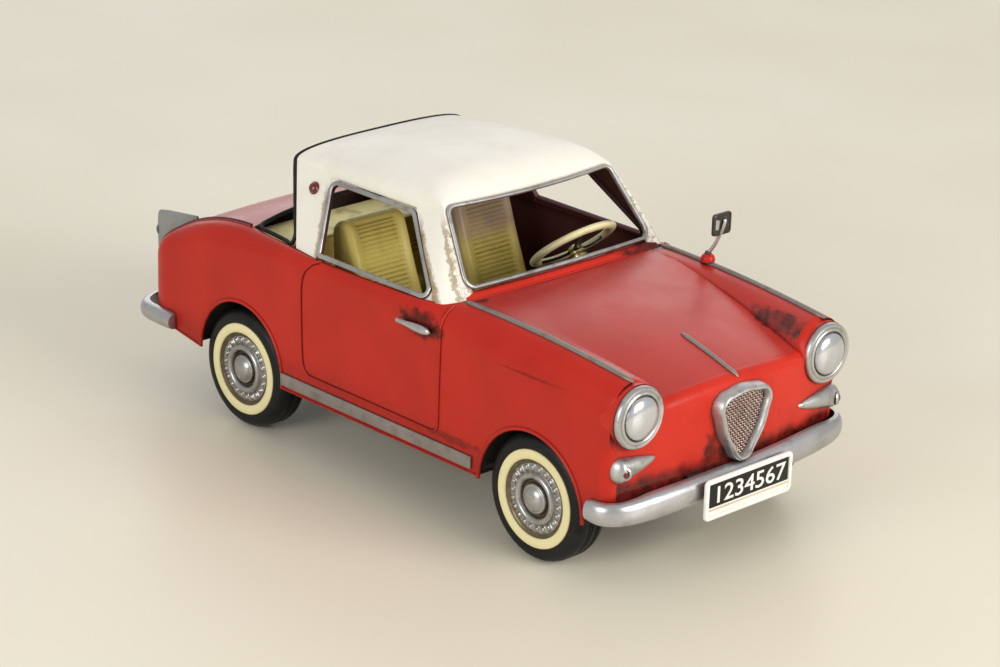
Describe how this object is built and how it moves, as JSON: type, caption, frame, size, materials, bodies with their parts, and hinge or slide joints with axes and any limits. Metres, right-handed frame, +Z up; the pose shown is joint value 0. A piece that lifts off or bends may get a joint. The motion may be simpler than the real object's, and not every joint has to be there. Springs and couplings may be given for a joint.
{
  "type": "tinplate model car",
  "caption": "Handmade tinplate model of a small two-door coupe with cream roof, whitewall wheels that roll, open windows, a steering wheel and a swivelling mirror.",
  "frame": {"origin": "on the ground under the middle of the car: centre of the bounding box in plan, at the bottom of the tyres", "axes": "+X to the nose, +Y to the driver's side (left), +Z up"},
  "size_m": [0.312, 0.1422, 0.1335],
  "materials": {
    "red_paint": "satin, hand painted, dark wash in the creases",
    "cream_paint": "satin, brownish wash at the edges",
    "silver_paint": "hand painted silver with grey-brown patina",
    "gasket_rubber": "matte",
    "pearl_lens": "pearly silver, glossy",
    "red_lens": "glossy",
    "copper_mesh": "woven wire, dull",
    "plate_paint": "gloss",
    "bare_steel": "brushed",
    "dark_steel": "matte black",
    "cream_seat": "satin, brown shading in the pleats",
    "maroon_paint": "satin",
    "cream_plastic": "satin",
    "tyre_rubber": "matte",
    "whitewall": "matte"
  },
  "bodies": {
    "car": {"side_panel_left": "red_paint", "side_panel_right": "red_paint", "bonnet_panel": "red_paint", "nose_panel": "red_paint", "cowl_panel": "red_paint", "rear_deck": "red_paint", "tail_panel": "red_paint", "roof_shell": "cream_paint", "windscreen_frame": "silver_paint", "side_window_frame_left": "silver_paint", "side_window_frame_right": "silver_paint", "rear_window_gasket": "gasket_rubber", "fender_trim_left": "silver_paint", "fender_trim_right": "silver_paint", "bonnet_trim": "silver_paint", "headlamp_rim_left": "silver_paint", "headlamp_rim_right": "silver_paint", "headlamp_lenses": "pearl_lens", "signal_housing_left": "silver_paint", "signal_housing_right": "silver_paint", "signal_lenses": "red_lens", "grille_surround": "silver_paint", "grille_mesh": "copper_mesh", "front_bumper": "silver_paint", "rear_bumper": "silver_paint", "bumper_brackets": "bare_steel", "number_plate": "plate_paint", "door_handle_left": "silver_paint", "door_handle_right": "silver_paint", "sill_trim_left": "silver_paint", "sill_trim_right": "silver_paint", "pillar_lamps": "red_lens", "tail_fin_left": "silver_paint", "tail_fin_right": "silver_paint", "tail_lamp_lenses": "red_lens", "floor_pan": "dark_steel", "wheel_wells": "dark_steel", "axle_brackets": "bare_steel", "chassis_screws": "bare_steel", "seat_left": "cream_seat", "seat_right": "cream_seat", "rear_bench": "cream_seat", "parcel_shelf": "cream_seat", "dashboard": "maroon_paint", "steering_column": "dark_steel", "mirror_base": "red_paint"},
    "front_wheelset": {"front_axle": "bare_steel", "front_tyre_left": "tyre_rubber", "front_tyre_right": "tyre_rubber", "front_wheel_disc_left": "silver_paint", "front_wheel_disc_right": "silver_paint", "front_whitewalls": "whitewall"},
    "rear_wheelset": {"rear_axle": "bare_steel", "rear_tyre_left": "tyre_rubber", "rear_tyre_right": "tyre_rubber", "rear_wheel_disc_left": "silver_paint", "rear_wheel_disc_right": "silver_paint", "rear_whitewalls": "whitewall"},
    "steering": {"steering_wheel": "cream_plastic"},
    "mirror": {"mirror_arm": "silver_paint"}
  },
  "joints": [
    {"name": "front_wheels_roll", "type": "hinge", "parent": "car", "child": "front_wheelset", "pos_m": [0.101, 0, 0.0263], "axis": [0, 1, 0], "continuous": true},
    {"name": "rear_wheels_roll", "type": "hinge", "parent": "car", "child": "rear_wheelset", "pos_m": [-0.079, 0, 0.0263], "axis": [0, 1, 0], "continuous": true},
    {"name": "steering_turn", "type": "hinge", "parent": "car", "child": "steering", "pos_m": [0.0269, 0.03, 0.0854], "axis": [-0.6428, 0, 0.766], "continuous": true},
    {"name": "mirror_swivel", "type": "hinge", "parent": "car", "child": "mirror", "pos_m": [0.0765, 0.0554, 0.093], "axis": [0, 0, 1], "range_deg": [-30, 30]}
  ]
}
